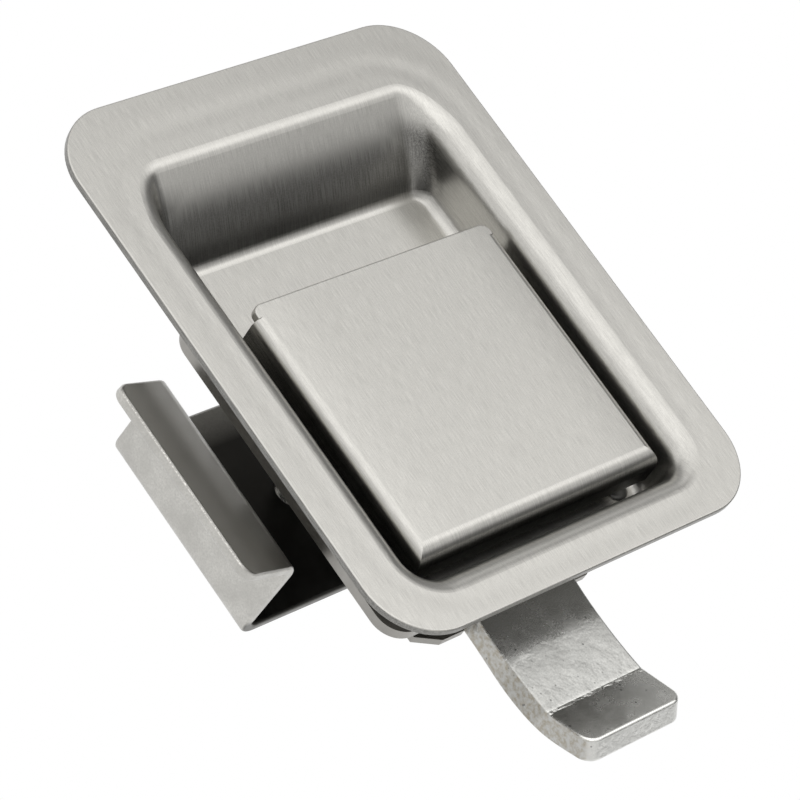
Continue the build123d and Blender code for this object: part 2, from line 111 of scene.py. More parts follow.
class LatchFinish(bpy.types.PropertyGroup):
    """Colours and grain of the steels."""

    sheet_color: bpy.props.FloatVectorProperty(
        name="Sheet", description="Colour of the brushed pan and paddle", subtype="COLOR",
        default=(0.60, 0.59, 0.56), min=0.0, max=1.0)
    sheet_roughness: bpy.props.FloatProperty(
        name="Sheet roughness", description="Roughness of the brushed sheet", subtype="FACTOR",
        default=0.30, min=0.0, max=1.0)
    grain_width: bpy.props.FloatProperty(
        name="Grain width", description="Width of one hairline of the brushing", default=0.00014,
        min=0.00002, unit="LENGTH")
    grain_length: bpy.props.FloatProperty(
        name="Grain length", description="Length of one hairline of the brushing", default=0.0030,
        min=0.0005, unit="LENGTH")
    bracket_color: bpy.props.FloatVectorProperty(
        name="Bracket", description="Colour of the tumbled clamp bracket", subtype="COLOR",
        default=(0.57, 0.56, 0.53), min=0.0, max=1.0)
    finger_color: bpy.props.FloatVectorProperty(
        name="Finger", description="Colour of the forged finger's worn faces", subtype="COLOR",
        default=(0.60, 0.60, 0.58), min=0.0, max=1.0)
    plain_color: bpy.props.FloatVectorProperty(
        name="Plain steel", description="Colour of the plain pressed inner pieces", subtype="COLOR",
        default=(0.34, 0.33, 0.31), min=0.0, max=1.0)
    thread_pitch: bpy.props.FloatProperty(
        name="Thread pitch", description="Pitch of the studs' thread", default=1.0 * MM, min=0.4 * MM,
        unit="LENGTH")
    thread_length: bpy.props.FloatProperty(
        name="Thread length", description="Length of the thread from the stud's tip", default=24.0 * MM,
        min=5.0 * MM, unit="LENGTH")
    pin_color: bpy.props.FloatVectorProperty(
        name="Pins", description="Colour of the ground pins and the fasteners", subtype="COLOR",
        default=(0.52, 0.52, 0.50), min=0.0, max=1.0)


class LatchStage(bpy.types.PropertyGroup):
    """Camera place and studio light."""

    target: bpy.props.FloatVectorProperty(
        name="Target", description="Point on the camera's axis", subtype="TRANSLATION",
        default=(-0.00474752, -0.01006870, -0.00815238))
    distance: bpy.props.FloatProperty(
        name="Distance", description="Distance from the camera to its target", default=0.60117866,
        unit="LENGTH")
    azimuth: bpy.props.FloatProperty(
        name="Azimuth", description="Direction of the camera about Z, from +X", subtype="ANGLE",
        default=math.radians(-156.03441))
    elevation: bpy.props.FloatProperty(
        name="Elevation", description="Height angle of the camera", subtype="ANGLE",
        default=math.radians(45.952438))
    roll: bpy.props.FloatProperty(
        name="Roll", description="Turn of the camera about its axis", subtype="ANGLE",
        default=math.radians(36.716757))
    lens: bpy.props.FloatProperty(
        name="Lens", description="Focal length in millimetres", default=168.9241, min=10.0)
    panel_light: bpy.props.FloatProperty(
        name="Panel light", description="Radiance of the soft panel overhead", default=0.94, min=0.0)
    band_gain: bpy.props.FloatProperty(
        name="Band gain", description="How much brighter the panel's middle band is", default=1.45, min=0.0)
    front_fall: bpy.props.FloatProperty(
        name="Front fall", description="Share of the light left beyond the band", default=0.42, min=0.0)
    wall_light: bpy.props.FloatProperty(
        name="Wall light", description="Radiance of the lit walls round the latch", default=0.72, min=0.0)
    room_light: bpy.props.FloatProperty(
        name="Room light", description="Radiance of the dim room round the panel", default=0.14, min=0.0)
    rear_light: bpy.props.FloatProperty(
        name="Rear light", description="Radiance of the room beyond the finger pocket",
        default=0.34, min=0.0)
    floor_drop: bpy.props.FloatProperty(
        name="Floor drop", description="Height of the latch above the floor", default=0.35, unit="LENGTH")


# ---- Material building blocks ----

def new_material(name):
    """A material with one Principled shader, and its tree and shader."""
    material = bpy.data.materials.new(name)
    material.use_nodes = True
    tree = material.node_tree
    shader = tree.nodes["Principled BSDF"]
    shader.inputs["Metallic"].default_value = 1.0
    return material, tree, shader


def node(tree, kind, **settings):
    made = tree.nodes.new(kind)
    for key, value in settings.items():
        setattr(made, key, value)
    return made


def scaled(color, factor):
    return tuple(min(channel * factor, 1.0) for channel in color) + (1.0,)


def noise(tree, vector, scale, detail=3.0, roughness=0.5):
    made = node(tree, "ShaderNodeTexNoise")
    made.inputs["Scale"].default_value = scale
    made.inputs["Detail"].default_value = detail
    made.inputs["Roughness"].default_value = roughness
    tree.links.new(vector, made.inputs["Vector"])
    return made.outputs["Fac"]


def remap(tree, value, low, high, to_low=0.0, to_high=1.0, smooth=False):
    made = node(tree, "ShaderNodeMapRange")
    made.interpolation_type = "SMOOTHSTEP" if smooth else "LINEAR"
    made.inputs["From Min"].default_value = low
    made.inputs["From Max"].default_value = high
    made.inputs["To Min"].default_value = to_low
    made.inputs["To Max"].default_value = to_high
    tree.links.new(value, made.inputs["Value"])
    return made.outputs["Result"]


def math_node(tree, operation, first, second):
    made = node(tree, "ShaderNodeMath", operation=operation)
    for socket, value in zip(made.inputs, (first, second)):
        if isinstance(value, float):
            socket.default_value = value
        else:
            tree.links.new(value, socket)
    return made.outputs["Value"]


def folded(tree, operation, values):
    result = values[0]
    for value in values[1:]:
        result = math_node(tree, operation, result, value)
    return result


def product(tree, *values):
    return folded(tree, "MULTIPLY", values)


def total(tree, *values):
    return folded(tree, "ADD", values)


def highest(tree, *values):
    return folded(tree, "MAXIMUM", values)


def magnitude(tree, value):
    return math_node(tree, "ABSOLUTE", value, 0.0)


def mix_color(tree, factor, first, second):
    made = node(tree, "ShaderNodeMix", data_type="RGBA")
    tree.links.new(factor, made.inputs["Factor"])
    for name, value in (("A", first), ("B", second)):
        socket = next(s for s in made.inputs if s.name == name and s.type == "RGBA")
        if isinstance(value, tuple):
            socket.default_value = value
        else:
            tree.links.new(value, socket)
    return next(s for s in made.outputs if s.type == "RGBA")


def two_tone(tree, mask, color, dark, light):
    """One colour, a darker share of it where the mask is nothing and a lighter one where it is full."""
    return mix_color(tree, mask, scaled(color, dark), scaled(color, light))


def bump(tree, shader, height, distance, strength=1.0):
    made = node(tree, "ShaderNodeBump")
    made.inputs["Strength"].default_value = strength
    made.inputs["Distance"].default_value = distance
    tree.links.new(height, made.inputs["Height"])
    tree.links.new(made.outputs["Normal"], shader.inputs["Normal"])


def new_group(name, inputs, outputs):
    """A shader node group with its named sockets, and its input and output nodes."""
    group = bpy.data.node_groups.new(name, "ShaderNodeTree")
    for label, kind, value in inputs:
        socket = group.interface.new_socket(label, in_out="INPUT", socket_type=kind)
        if value is not None:
            socket.default_value = value
    for label, kind in outputs:
        group.interface.new_socket(label, in_out="OUTPUT", socket_type=kind)
    entry = group.nodes.new("NodeGroupInput")
    leave = group.nodes.new("NodeGroupOutput")
    return group, entry, leave


def stretched(tree, vector, sizes):
    """The vector divided by a size along each axis, so that one unit is one mark."""
    made = node(tree, "ShaderNodeMapping")
    made.inputs["Scale"].default_value = [1.0 / size for size in sizes]
    tree.links.new(vector, made.inputs["Vector"])
    return made.outputs["Vector"]


def brushing_group(finish):
    """Hairlines along Y: a fine layer, a coarse one and slow clouds."""
    group, entry, leave = new_group(
        "Brushing", [("Vector", "NodeSocketVector", None)],
        [("Hairlines", "NodeSocketFloat"), ("Clouds", "NodeSocketFloat")])
    width, length = finish.grain_width, finish.grain_length
    layers = []
    for across, along, share in ((1, 1, 0.84), (2, 3, 0.16)):
        sizes = (across * width, along * length, across * width)
        layer = noise(group, stretched(group, entry.outputs["Vector"], sizes), 1.0, 2.0)
        layers.append(product(group, layer, share))
    hairs = total(group, *layers)
    group.links.new(hairs, leave.inputs["Hairlines"])
    clouds = noise(group, stretched(group, entry.outputs["Vector"], (0.012, 0.03, 0.012)), 1.0, 3.0)
    group.links.new(clouds, leave.inputs["Clouds"])
    return group


def pitting_group():
    """Tumbled and forged skin: fine speckle, small pits and broad mottling."""
    group, entry, leave = new_group(
        "Pitting", [("Vector", "NodeSocketVector", None), ("Size", "NodeSocketFloat", 0.001)],
        [("Speckle", "NodeSocketFloat"), ("Pits", "NodeSocketFloat"), ("Mottle", "NodeSocketFloat")])
    scale = math_node(group, "DIVIDE", 1.0, entry.outputs["Size"])
    for label, factor, detail in (("Speckle", 3.0, 4.0), ("Mottle", 0.22, 3.0)):
        made = node(group, "ShaderNodeTexNoise")
        made.inputs["Detail"].default_value = detail
        made.inputs["Roughness"].default_value = 0.62
        group.links.new(entry.outputs["Vector"], made.inputs["Vector"])
        group.links.new(math_node(group, "MULTIPLY", scale, factor), made.inputs["Scale"])
        group.links.new(made.outputs["Fac"], leave.inputs[label])
    cells = node(group, "ShaderNodeTexVoronoi")
    cells.inputs["Randomness"].default_value = 1.0
    group.links.new(entry.outputs["Vector"], cells.inputs["Vector"])
    group.links.new(math_node(group, "MULTIPLY", scale, 0.7), cells.inputs["Scale"])
    spots = remap(group, cells.outputs["Distance"], 0.10, 0.22, 1.0, 0.0)
    sieve = remap(group, noise(group, entry.outputs["Vector"], 420.0), 0.52, 0.60)
    group.links.new(math_node(group, "MULTIPLY", spots, sieve), leave.inputs["Pits"])
    return group


def place_group(tree, group, vector=None):
    made = node(tree, "ShaderNodeGroup")
    made.node_tree = group
    tree.links.new(vector or node(tree, "ShaderNodeTexCoord").outputs["Object"], made.inputs["Vector"])
    return made


def object_parts(tree, output="Object"):
    """Separate sockets for the place on the object, or for the way its surface faces."""
    coordinates = node(tree, "ShaderNodeTexCoord")
    parts = node(tree, "ShaderNodeSeparateXYZ")
    tree.links.new(coordinates.outputs[output], parts.inputs["Vector"])
    return parts.outputs


def rim_distance(tree, low, high, corner):
    """Distance outwards from a rounded rectangle seen along Z."""
    place = object_parts(tree)
    gaps = []
    for axis, name in enumerate("XY"):
        middle, half = (low[axis] + high[axis]) / 2, (high[axis] - low[axis]) / 2
        away = magnitude(tree, math_node(tree, "SUBTRACT", place[name], middle))
        gaps.append(highest(tree, math_node(tree, "SUBTRACT", away, half - corner), 0.0))
    squares = [product(tree, gap, gap) for gap in gaps]
    reach = math_node(tree, "SQRT", total(tree, *squares), 0.0)
    return math_node(tree, "SUBTRACT", reach, corner)


def ridge(tree, value, centre, width):
    """Smooth hump, one high at its centre and nothing a width away."""
    away = magnitude(tree, math_node(tree, "SUBTRACT", value, centre))
    return remap(tree, away, width, 0.0, smooth=True)


# ---- Sheet steel ----

def sheet_vector(tree, place, facing):
    """The place on the sheet, without its height where the sheet slopes along the pan.

    Hairlines then run on down a wall that faces along Y, and stay fine on one that faces along X.
    """
    sideways = remap(tree, magnitude(tree, facing["X"]), 0.3, 0.7)
    made = node(tree, "ShaderNodeCombineXYZ")
    for name, value in zip("XYZ", (place["X"], place["Y"], product(tree, place["Z"], sideways))):
        tree.links.new(value, made.inputs[name])
    return made.outputs["Vector"]


def brushed_sheet(name, finish, brushing, pressed, darkening_mask):
    """Satin brushed stainless sheet, with its grain along the pan, a form pressed into it, painted shade on
    its undersides and a darker colour where its mask says.
    """
    material, tree, shader = new_material(name)
    place, facing = object_parts(tree), object_parts(tree, "Normal")
    grain = place_group(tree, brushing, sheet_vector(tree, place, facing))
    hairlines = grain.outputs["Hairlines"]
    steel = finish.sheet_color
    color = two_tone(tree, remap(tree, hairlines, 0.34, 0.66), steel, 0.88, 1.09)
    # Painted shade: faces of the sheet that look down are darkened to 0.30 of the steel.
    under = remap(tree, facing["Z"], -0.15, -0.6)
    color = mix_color(tree, under, color, scaled(steel, 0.30))
    # Darker where the mask says, varied by the hairlines: painted shade in the pocket and on the paddle's
    # skirts, and the pan's darker cut edge.
    darkened_share = product(tree, darkening_mask(tree), remap(tree, hairlines, 0.36, 0.64, 1.1, 0.8))
    color = mix_color(tree, darkened_share, color, scaled(steel, 0.18))
    fleck = noise(tree, node(tree, "ShaderNodeTexCoord").outputs["Object"], 4200.0, 1.0)
    color = mix_color(tree, remap(tree, fleck, 0.45, 0.75, 0.0, 0.35), color, scaled(steel, 0.72))
    tree.links.new(color, shader.inputs["Base Color"])
    base = finish.sheet_roughness
    rough = remap(tree, grain.outputs["Clouds"], 0.3, 0.7, base - 0.01, base + 0.03)
    tree.links.new(total(tree, rough, product(tree, under, 0.2)), shader.inputs["Roughness"])
    bump(tree, shader, total(tree, product(tree, hairlines, 0.008 * MM), pressed(tree)), 1.0)
    return material


def pan_edge_and_pocket_shade(tree):
    """Mask of painted shade in the pocket's corners, down its sloped wall and at its low end, and of a
    darker cut edge on the flange.
    """
    low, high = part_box("pan")
    place, facing = object_parts(tree), object_parts(tree, "Normal")
    distance = rim_distance(tree, low, high, FLANGE_CORNER)
    # Darker on the flange's cut edge, where it turns down.
    cut = product(tree, remap(tree, distance, -0.9 * MM, -0.3 * MM, 0.0, 0.8),
                  remap(tree, facing["Z"], 0.75, 0.4))
    # Painted shade below the rim, in the pocket's corners and down its sloped wall.
    corner = product(tree, remap(tree, magnitude(tree, place["X"]), 19 * MM, 30 * MM, smooth=True),
                     remap(tree, place["Y"], 16 * MM, 30 * MM, smooth=True))
    slope = product(tree, remap(tree, place["Y"], 23.5 * MM, 26.5 * MM, 0.0, 0.72, smooth=True),
                    remap(tree, place["Y"], 35 * MM, 30 * MM, smooth=True))
    deep = remap(tree, place["Z"], -0.3 * MM, -3.5 * MM, smooth=True)
    tilted = remap(tree, facing["Z"], 0.97, 0.85)
    walls = product(tree, deep, highest(tree, corner, slope), tilted)
    # Painted shade at the pocket's low end.
    low_end = product(tree, remap(tree, place["Y"], -39 * MM, -41 * MM, 0.0, 0.85), deep)
    return highest(tree, cut, walls, low_end)


def skirt_painted_shade(tree):
    """Mask of painted shade on the paddle's skirts and end wall, down in the gap round the pocket."""
    low = remap(tree, object_parts(tree)["Z"], -0.3 * MM, -2.6 * MM)
    end = remap(tree, object_parts(tree, "Normal")["Y"], -0.45, -0.8, 0.0, 0.85)
    return highest(tree, low, end)


def pan_form(tree):
    """Height of the soft bead and valley that pressing leaves round the pocket's rim."""
    distance = rim_distance(tree, POCKET_LOW, POCKET_HIGH, POCKET_CORNER)
    valley = product(tree, ridge(tree, distance, 5.9 * MM, 2.6 * MM), -0.02 * MM)
    swell = product(tree, ridge(tree, distance, 9.0 * MM, 3.5 * MM), 0.012 * MM)
    return total(tree, valley, swell)


def paddle_form(tree):
    """Height of the paddle's crown, which falls away to its sides."""
    fall = remap(tree, magnitude(tree, object_parts(tree)["X"]), 17 * MM, 27 * MM)
    return product(tree, fall, fall, -0.26 * MM)


# ---- Bracket, finger and plain steel ----

def bracket_masks(tree, place, facing, speckle):
    """Masks of painted shade on the bracket's base, its cut ends and its feet, and of a painted highlight
    along the feet's outer edges.
    """
    # Painted shade: the base's upward faces are darkened, more towards -Y.
    base = product(tree, remap(tree, place["Z"], -29 * MM, -33 * MM),
                   remap(tree, place["Y"], 11 * MM, 5 * MM, 0.3, 1.0),
                   remap(tree, facing["Z"], 0.2, 0.7))
    # Painted shade on the base's cut ends, the faces that look along Y.
    ends = product(tree, remap(tree, place["Z"], -33 * MM, -34.5 * MM),
                   remap(tree, magnitude(tree, facing["Y"]), 0.5, 0.9))
    # Painted shade on the feet's upward faces; the same mask also shapes their crown.
    foot = product(tree, remap(tree, place["Z"], -22 * MM, -20 * MM), remap(tree, facing["Z"], 0.6, 0.85))
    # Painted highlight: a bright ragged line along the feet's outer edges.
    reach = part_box("clamp_bracket")[1].x
    ragged = total(tree, magnitude(tree, place["X"]), product(tree, speckle, 0.9 * MM))
    edge_glint = product(tree, remap(tree, ragged, reach - 0.15 * MM, reach + 0.05 * MM), foot)
    return base, ends, foot, edge_glint


def tumbled_steel(finish, pitting):
    """Dull tumbled steel of the clamp bracket."""
    material, tree, shader = new_material("tumbled_steel")
    skin = place_group(tree, pitting)
    skin.inputs["Size"].default_value = 1.1 * MM
    speckle, mottle = skin.outputs["Speckle"], skin.outputs["Mottle"]
    steel = finish.bracket_color
    place, facing = object_parts(tree), object_parts(tree, "Normal")
    base, ends, foot, edge_glint = bracket_masks(tree, place, facing, speckle)
    color = two_tone(tree, remap(tree, speckle, 0.3, 0.7), steel, 0.85, 1.12)
    blotch = remap(tree, mottle, 0.35, 0.65, 0.0, 0.6)
    # Mottled tone, then painted shade on the base, cut ends and feet, and a painted highlight on the feet's
    # edges.
    for mask, share in ((blotch, 0.84), (base, 0.10), (ends, 0.30), (foot, 0.72), (edge_glint, 1.7)):
        color = mix_color(tree, mask, color, scaled(steel, share))
    tree.links.new(color, shader.inputs["Base Color"])
    tree.links.new(remap(tree, mottle, 0.3, 0.7, 0.30, 0.44), shader.inputs["Roughness"])
    crown = product(tree, ridge(tree, magnitude(tree, place["X"]), 39.5 * MM, 7 * MM), 0.35 * MM, foot)
    bump(tree, shader, total(tree, product(tree, speckle, 0.015 * MM), crown), 1.0)
    return material


def finger_color(tree, finish, skin, place, facing, side, patches):
    """Speckled faces with a painted highlight on the tab, pale pitted sides, and a painted highlight on the
    tip.
    """
    steel = finish.finger_color
    face = two_tone(tree, remap(tree, skin.outputs["Speckle"], 0.32, 0.66), steel, 0.84, 1.08)
    # Painted highlight: the tab's upward faces are lightened to 1.6 of the steel.
    tab = product(tree, remap(tree, place["Y"], TAB_CREASE + 0.4 * MM, TAB_CREASE),
                  remap(tree, facing["Z"], 0.7, 0.85))
    face = mix_color(tree, tab, face, scaled(steel, 1.6))
    edge = mix_color(tree, patches, scaled(SCALE_COLOR, 0.72), scaled(steel, 0.98))
    # Painted highlight: faces that look along -Y, at the tip, are lightened to 1.45 of the steel.
    edge = mix_color(tree, remap(tree, facing["Y"], -0.4, -0.7), edge, scaled(steel, 1.45))
    edge = mix_color(tree, product(tree, patches, 0.35), edge, scaled(steel, 0.8))
    color = mix_color(tree, side, face, edge)
    return mix_color(tree, skin.outputs["Pits"], color, scaled(steel, 0.35))


def finger_height(tree, coordinates, skin, place, side, patches):
    """Height of the worn hollow before the tab, the dented sides and a fine sparkle."""
    sparkle = product(tree, noise(tree, coordinates, 1900.0, 3.0, 0.7), 0.016 * MM)
    dents = product(tree, patches, side, 0.05 * MM)
    start = total(tree, place["Y"], product(tree, skin.outputs["Mottle"], 2.0 * MM))
    depth = remap(tree, start, -51.5 * MM, -64.5 * MM)
    return total(tree, sparkle, dents, product(tree, depth, depth, -1.7 * MM))


def forged_steel(finish, pitting):
    """Forged finger: dark ground faces, a bright worn hollow, rough pale sides and scattered pits."""
    material, tree, shader = new_material("forged_steel")
    skin = place_group(tree, pitting)
    skin.inputs["Size"].default_value = 0.8 * MM
    place, facing = object_parts(tree), object_parts(tree, "Normal")
    coordinates = node(tree, "ShaderNodeTexCoord").outputs["Object"]
    side = highest(tree, magnitude(tree, facing["X"]), product(tree, facing["Y"], -0.85))
    side = remap(tree, side, 0.45, 0.8)
    patches = remap(tree, noise(tree, coordinates, 1100.0, 4.0, 0.65), 0.38, 0.62)
    color = finger_color(tree, finish, skin, place, facing, side, patches)
    tree.links.new(color, shader.inputs["Base Color"])
    smooth = remap(tree, skin.outputs["Mottle"], 0.3, 0.7, 0.20, 0.30)
    worn = product(tree, remap(tree, place["Y"], TAB_CREASE + 0.4 * MM, TAB_CREASE + 0.9 * MM),
                   remap(tree, place["Y"], -54 * MM, -57 * MM, 0.0, 0.20))
    tree.links.new(total(tree, smooth, product(tree, side, 0.2), worn), shader.inputs["Roughness"])
    bump(tree, shader, finger_height(tree, coordinates, skin, place, side, patches), 1.0)
    return material


def plain_steel(finish, pitting):
    """Mill-finished steel of the inner pressed pieces."""
    material, tree, shader = new_material("plain_steel")
    skin = place_group(tree, pitting)
    skin.inputs["Size"].default_value = 1.6 * MM
    color = two_tone(tree, remap(tree, skin.outputs["Mottle"], 0.3, 0.7), finish.plain_color, 0.88, 1.1)
    tree.links.new(color, shader.inputs["Base Color"])
    tree.links.new(remap(tree, skin.outputs["Speckle"], 0.3, 0.7, 0.30, 0.42), shader.inputs["Roughness"])
    bump(tree, shader, skin.outputs["Speckle"], 0.02 * MM, 0.4)
    return material


def turned_steel(finish, name, factor, roughness):
    """Turned or drawn steel, with fine tool marks drawn out along Y."""
    material, tree, shader = new_material(name)
    coordinates = node(tree, "ShaderNodeTexCoord")
    sizes = (0.12 * MM, 2.0 * MM, 0.12 * MM)
    marks = noise(tree, stretched(tree, coordinates.outputs["Object"], sizes), 1.0, 2.0)
    color = two_tone(tree, remap(tree, marks, 0.3, 0.7), finish.pin_color, 0.9 * factor, 1.08 * factor)
    tree.links.new(color, shader.inputs["Base Color"])
    rough = remap(tree, marks, 0.3, 0.7, roughness - 0.04, roughness + 0.06)
    tree.links.new(rough, shader.inputs["Roughness"])
    bump(tree, shader, marks, 0.01 * MM, 0.5)
    return material


def wear(names, material):
    """Give CAD nodes their material."""
    for name in names:
        slots = NODES[name].data.materials
        slots.clear()
        slots.append(material)


# ---- Turned pieces ----

def turned(name, points, sides):
    """Solid of revolution about Z: a disc drawn out ring by ring through (radius, height) points."""
    bpy.ops.object.select_all(action="DESELECT")
    radius, height = points[0]
    bpy.ops.mesh.primitive_circle_add(
        vertices=sides, radius=radius, fill_type="NGON", location=(0, 0, height))
    made = bpy.context.object
    made.name = name
    bpy.ops.object.mode_set(mode="EDIT")
    bpy.ops.mesh.select_all(action="SELECT")
    for new_radius, new_height in points[1:]:
        bpy.ops.mesh.extrude_region_move(TRANSFORM_OT_translate={"value": (0, 0, new_height - height)})
        factor = new_radius / radius
        bpy.ops.transform.resize(value=(factor, factor, 1), center_override=(0, 0, new_height))
        radius, height = new_radius, new_height
    bpy.ops.mesh.select_all(action="SELECT")
    bpy.ops.mesh.remove_doubles(threshold=0.001 * MM)
    bpy.ops.mesh.normals_make_consistent(inside=False)
    bpy.ops.object.mode_set(mode="OBJECT")
    bpy.ops.object.transform_apply(location=True, rotation=True, scale=True)
    return made


def set_out(pattern, places):
    """Copies of a piece at (x, y) places, joined into one object that replaces the pattern."""
    bpy.ops.object.select_all(action="DESELECT")
    for x, y in places:
        copy = pattern.copy()
        copy.data = pattern.data.copy()
        copy.data.transform(Matrix.Translation((x, y, 0)))
        bpy.context.scene.collection.objects.link(copy)
        copy.select_set(True)
        bpy.context.view_layer.objects.active = copy
    bpy.ops.object.join()
    joined = bpy.context.object
    name = pattern.name
    bpy.data.objects.remove(pattern)
    joined.name = name
    bpy.ops.object.shade_smooth_by_angle(angle=math.radians(32))
    return joined


def stand_for(piece, cad_name, material):
    """Put a modelled piece in a CAD node's place, on its body and in its finish."""
    piece.data.materials.clear()
    piece.data.materials.append(material)
    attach(piece, NODES[cad_name].parent.name.removeprefix("body:"))
    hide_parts(cad_name)


def stud_outline(low, high, finish):
    """Outline of a headed stud with a rolled thread on its lower part."""
    pitch = finish.thread_pitch
    root = STUD_RADIUS - 0.61 * pitch
    points = [(root - 0.2 * MM, low), (root, low + 0.2 * MM)]
    turns = int((finish.thread_length - 0.4 * MM) / pitch)
    for turn in range(turns):
        start = low + 0.3 * MM + turn * pitch
        points += [(root, start), (STUD_RADIUS, start + 0.42 * pitch),
                   (STUD_RADIUS, start + 0.56 * pitch), (root, start + 0.95 * pitch)]
    thread_top = points[-1][1]
    head = high - STUD_HEAD_HEIGHT
    return points + [(STUD_RADIUS, thread_top + 0.4 * MM), (STUD_RADIUS, head),
                     (STUD_HEAD_RADIUS, head), (STUD_HEAD_RADIUS, high)]


def rivet_outline(low, high):
    """Outline of a rivet: a domed factory head above and an upset one below."""
    dome = [(0.35, 0.0), (0.72, 0.12), (0.9, 0.3), (1.0, 0.62), (1.0, 1.0)]
    sized = [(RIVET_HEAD_RADIUS * reach, RIVET_HEAD_HEIGHT * down) for reach, down in dome]
    lower = [(radius, low + down) for radius, down in sized]
    upper = [(radius, high - down) for radius, down in reversed(sized)]
    shank = [(RIVET_SHANK_RADIUS, low + RIVET_HEAD_HEIGHT), (RIVET_SHANK_RADIUS, high - RIVET_HEAD_HEIGHT)]
    return lower + shank + upper


# ---- Operators ----

class LATCH_OT_sheet(bpy.types.Operator):
    """Brush the pan and the paddle"""

    bl_idname = "latch.sheet"
    bl_label = "Pan and Paddle"

    def execute(self, context):
        finish = context.scene.latch_finish
        brushing = brushing_group(finish)
        wear(("pan",), brushed_sheet("brushed_pan", finish, brushing, pan_form, pan_edge_and_pocket_shade))
        wear(("paddle",), brushed_sheet("brushed_paddle", finish, brushing, paddle_form, skirt_painted_shade))
        return {"FINISHED"}


class LATCH_OT_forgings(bpy.types.Operator):
    """Finish the finger, the clamp bracket and the plain inner pieces"""

    bl_idname = "latch.forgings"
    bl_label = "Finger, Bracket and Housing"

    def execute(self, context):
        finish = context.scene.latch_finish
        pitting = pitting_group()
        wear(("finger",), forged_steel(finish, pitting))
        wear(("clamp_bracket",), tumbled_steel(finish, pitting))
        plain = ("back_plate", "housing", "paddle_lever", "link_left", "link_right")
        wear(plain, plain_steel(finish, pitting))
        return {"FINISHED"}


class LATCH_OT_fasteners(bpy.types.Operator):
    """Model the threaded studs and the domed rivets, and finish the nuts and washers"""

    bl_idname = "latch.fasteners"
    bl_label = "Studs, Rivets and Nuts"

    def execute(self, context):
        finish = context.scene.latch_finish
        bright = turned_steel(finish, "bright_steel", 1.05, 0.26)
        wear(("flat_washers", "lock_washers", "nuts"), bright)
        low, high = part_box("studs")
        middle, side = (low.y + high.y) / 2, high.x - STUD_HEAD_RADIUS
        stud = turned("threaded_studs", stud_outline(low.z, high.z, finish), 48)
        stand_for(set_out(stud, [(-side, middle), (side, middle)]), "studs", bright)
        low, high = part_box("rivets")
        columns = (low.x + RIVET_HEAD_RADIUS, high.x - RIVET_HEAD_RADIUS)
        rows = (low.y + RIVET_HEAD_RADIUS, high.y - RIVET_HEAD_RADIUS)
        rivet = turned("domed_rivets", rivet_outline(low.z, high.z), 32)
        rivets = set_out(rivet, [(x, y) for x in columns for y in rows])
        # Painted shade: the rivets, down in the dark gap, are coloured at 0.32 of the pin steel.
        stand_for(rivets, "rivets", turned_steel(finish, "dull_steel", 0.32, 0.42))
        return {"FINISHED"}


class LATCH_OT_pins(bpy.types.Operator):
    """Finish the pins, rings, spacers and the spring"""

    bl_idname = "latch.pins"
    bl_label = "Pins and Spring"

    def execute(self, context):
        finish = context.scene.latch_finish
        ground = turned_steel(finish, "ground_steel", 1.0, 0.22)
        wire = turned_steel(finish, "spring_wire", 0.7, 0.28)
        wear(("return_spring",), wire)
        wear([name for name in NODES if name.endswith(("_pin", "_rings", "_spacers"))], ground)
        return {"FINISHED"}


class LATCH_OT_stage(bpy.types.Operator):
    """Set the camera, the white floor and the studio light"""

    bl_idname = "latch.stage"
    bl_label = "Studio"

    def execute(self, context):
        stage = context.scene.latch_stage
        add_camera(context, stage)
        add_floor(stage)
        add_world(context, stage)
        context.scene.view_settings.view_transform = "Standard"
        return {"FINISHED"}


# ---- Studio ----

def camera_rotation(stage):
    """Rotation of a camera that looks at its target from an azimuth and elevation, then rolls."""
    flat = math.cos(stage.elevation)
    back = Vector((flat * math.cos(stage.azimuth), flat * math.sin(stage.azimuth),
                   math.sin(stage.elevation)))
    level = Vector((-math.sin(stage.azimuth), math.cos(stage.azimuth), 0.0))
    rise = back.cross(level)
    right = math.cos(stage.roll) * level + math.sin(stage.roll) * rise
    up = back.cross(right)
    return Matrix((right, up, back)).transposed()


def add_camera(context, stage):
    data = bpy.data.cameras.new("camera")
    data.lens = stage.lens
    data.sensor_width = 36.0
    data.clip_start = 0.01
    camera = bpy.data.objects.new("camera", data)
    rotation = camera_rotation(stage)
    place = Vector(stage.target) + rotation.col[2] * stage.distance
    camera.matrix_world = Matrix.Translation(place) @ rotation.to_4x4()
    context.scene.collection.objects.link(camera)
    context.scene.camera = camera


def add_floor(stage):
    """Plain white floor under the latch, seen as white from above and not at all from below."""
    drop = CAD_BOX[0][2] - stage.floor_drop
    bpy.ops.object.select_all(action="DESELECT")
    bpy.ops.mesh.primitive_plane_add(size=6.0, location=(0.0, 0.0, drop))
    floor = bpy.context.object
    floor.name = "floor"
    material, tree, shader = new_material("floor_white")
    shader.inputs["Metallic"].default_value = 0.0
    shader.inputs["Roughness"].default_value = 0.9
    shader.inputs["Base Color"].default_value = (0.82, 0.82, 0.82, 1.0)
    glow = node(tree, "ShaderNodeEmission")
    path = node(tree, "ShaderNodeLightPath")
    rays = ("Is Camera Ray", "Is Glossy Ray", "Is Transmission Ray")
    seen = highest(tree, *(path.outputs[ray] for ray in rays))
    blend = node(tree, "ShaderNodeMixShader")
    tree.links.new(seen, blend.inputs["Fac"])
    tree.links.new(shader.outputs["BSDF"], blend.inputs[1])
    tree.links.new(glow.outputs["Emission"], blend.inputs[2])
    open_side = node(tree, "ShaderNodeMixShader")
    clear = node(tree, "ShaderNodeBsdfTransparent")
    tree.links.new(node(tree, "ShaderNodeNewGeometry").outputs["Backfacing"], open_side.inputs["Fac"])
    tree.links.new(blend.outputs["Shader"], open_side.inputs[1])
    tree.links.new(clear.outputs["BSDF"], open_side.inputs[2])
    tree.links.new(open_side.outputs["Shader"], tree.nodes["Material Output"].inputs["Surface"])
    floor.data.materials.append(material)


